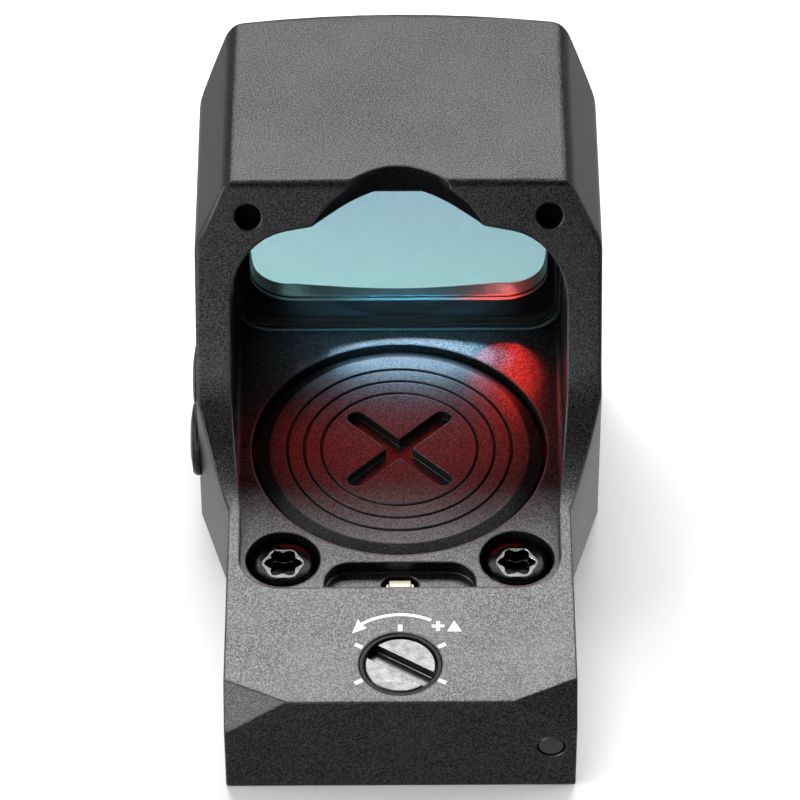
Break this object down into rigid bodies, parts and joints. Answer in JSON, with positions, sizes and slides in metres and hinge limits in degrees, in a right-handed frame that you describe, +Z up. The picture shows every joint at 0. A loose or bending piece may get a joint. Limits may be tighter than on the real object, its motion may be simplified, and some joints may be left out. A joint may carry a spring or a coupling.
{
  "type": "reflex red dot finder",
  "caption": "Compact open reflex finder: hooded coated lens, dot emitter, top battery cap, slotted windage and elevation adjusters, side buttons and a flat screw-down base.",
  "frame": {"origin": "middle of the underside, at half the length and half the width", "axes": "+Z up, +Y along the line of sight away from the eye, +X to the right seen from behind"},
  "size_m": [0.0316, 0.0557, 0.0274],
  "materials": {
    "black_anodised": "bead-blasted and anodised black",
    "black_steel": "black oxide, glossy",
    "bright_steel": "turned bright",
    "spring_steel": "bright",
    "brass": "machined",
    "nickel": "nickel-plated",
    "coated_glass": "coated, passes cyan and reflects red",
    "black_rubber": "matte",
    "black_plastic": "moulded, matte",
    "circuit_board": "green solder mask",
    "amber_film": "insulating film",
    "cream_ceramic": "moulded emitter block"
  },
  "bodies": {
    "housing": {"housing": "black_anodised", "lens_rear_element": "coated_glass", "lens_front_element": "coated_glass", "lens_gasket": "black_rubber", "battery_cell": "bright_steel", "battery_insulator": "amber_film", "battery_contact_spring": "brass", "battery_side_contact": "brass", "mounting_screw_left": "black_steel", "mounting_screw_right": "black_steel", "bottom_plate": "black_anodised", "base_gasket": "black_rubber", "plate_screw_1": "black_steel", "plate_screw_2": "black_steel", "plate_screw_3": "black_steel", "plate_screw_4": "black_steel", "rear_plug": "black_plastic", "circuit_board": "circuit_board", "control_chip": "black_plastic", "elevation_bushing": "black_steel", "elevation_spring": "spring_steel", "windage_spring": "spring_steel", "brightness_up_switch": "nickel", "brightness_down_switch": "nickel"},
    "cap_seal": {"cap_o_ring": "black_rubber"},
    "cap": {"battery_cap": "black_anodised"},
    "elevation_screw": {"elevation_screw": "bright_steel", "elevation_o_ring": "black_rubber", "elevation_retaining_ring": "spring_steel"},
    "windage_screw": {"windage_screw": "bright_steel", "windage_o_ring": "black_rubber", "windage_retaining_ring": "spring_steel"},
    "windage_stage": {"windage_stage": "brass"},
    "elevation_stage": {"elevation_stage": "brass", "emitter_board": "circuit_board", "led_emitter": "cream_ceramic"},
    "up_button": {"brightness_up_button": "black_anodised", "brightness_up_button_o_ring": "black_rubber"},
    "down_button": {"brightness_down_button": "black_anodised", "brightness_down_button_o_ring": "black_rubber"}
  },
  "joints": [
    {"name": "cap_lift", "type": "slide", "parent": "housing", "child": "cap_seal", "axis": [0, 0, 1], "range_m": [0, 0.00226]},
    {"name": "cap_turn", "type": "hinge", "parent": "cap_seal", "child": "cap", "pos_m": [0, 0.0003, 0.0068], "axis": [0, 0, 1], "range_deg": [0, 1080]},
    {"name": "elevation_turn", "type": "hinge", "parent": "housing", "child": "elevation_screw", "pos_m": [0, -0.02419, 0.0092], "axis": [0, 0, 1], "range_deg": [-300, 300]},
    {"name": "windage_turn", "type": "hinge", "parent": "housing", "child": "windage_screw", "pos_m": [0.0128, -0.0215, 0.0044], "axis": [1, 0, 0], "range_deg": [-300, 300]},
    {"name": "windage_slide", "type": "slide", "parent": "housing", "child": "windage_stage", "axis": [1, 0, 0], "range_m": [-0.00029, 0.00029]},
    {"name": "elevation_slide", "type": "slide", "parent": "windage_stage", "child": "elevation_stage", "axis": [0, 0, 1], "range_m": [-0.00029, 0.00029], "deforming": ["elevation_spring"]},
    {"name": "up_press", "type": "slide", "parent": "housing", "child": "up_button", "axis": [1, 0, 0], "range_m": [0, 0.00035], "stiffness_N_per_m": 600, "springref_m": -0.0003},
    {"name": "down_press", "type": "slide", "parent": "housing", "child": "down_button", "axis": [1, 0, 0], "range_m": [0, 0.00035], "stiffness_N_per_m": 600, "springref_m": -0.0003}
  ],
  "couplings": [
    {"joint": "cap_lift", "follows": "cap_turn", "m_per_rad": 0.00011937},
    {"joint": "elevation_turn", "follows": "elevation_slide", "rad_per_m": -17952},
    {"joint": "windage_turn", "follows": "windage_slide", "rad_per_m": -17952}
  ]
}
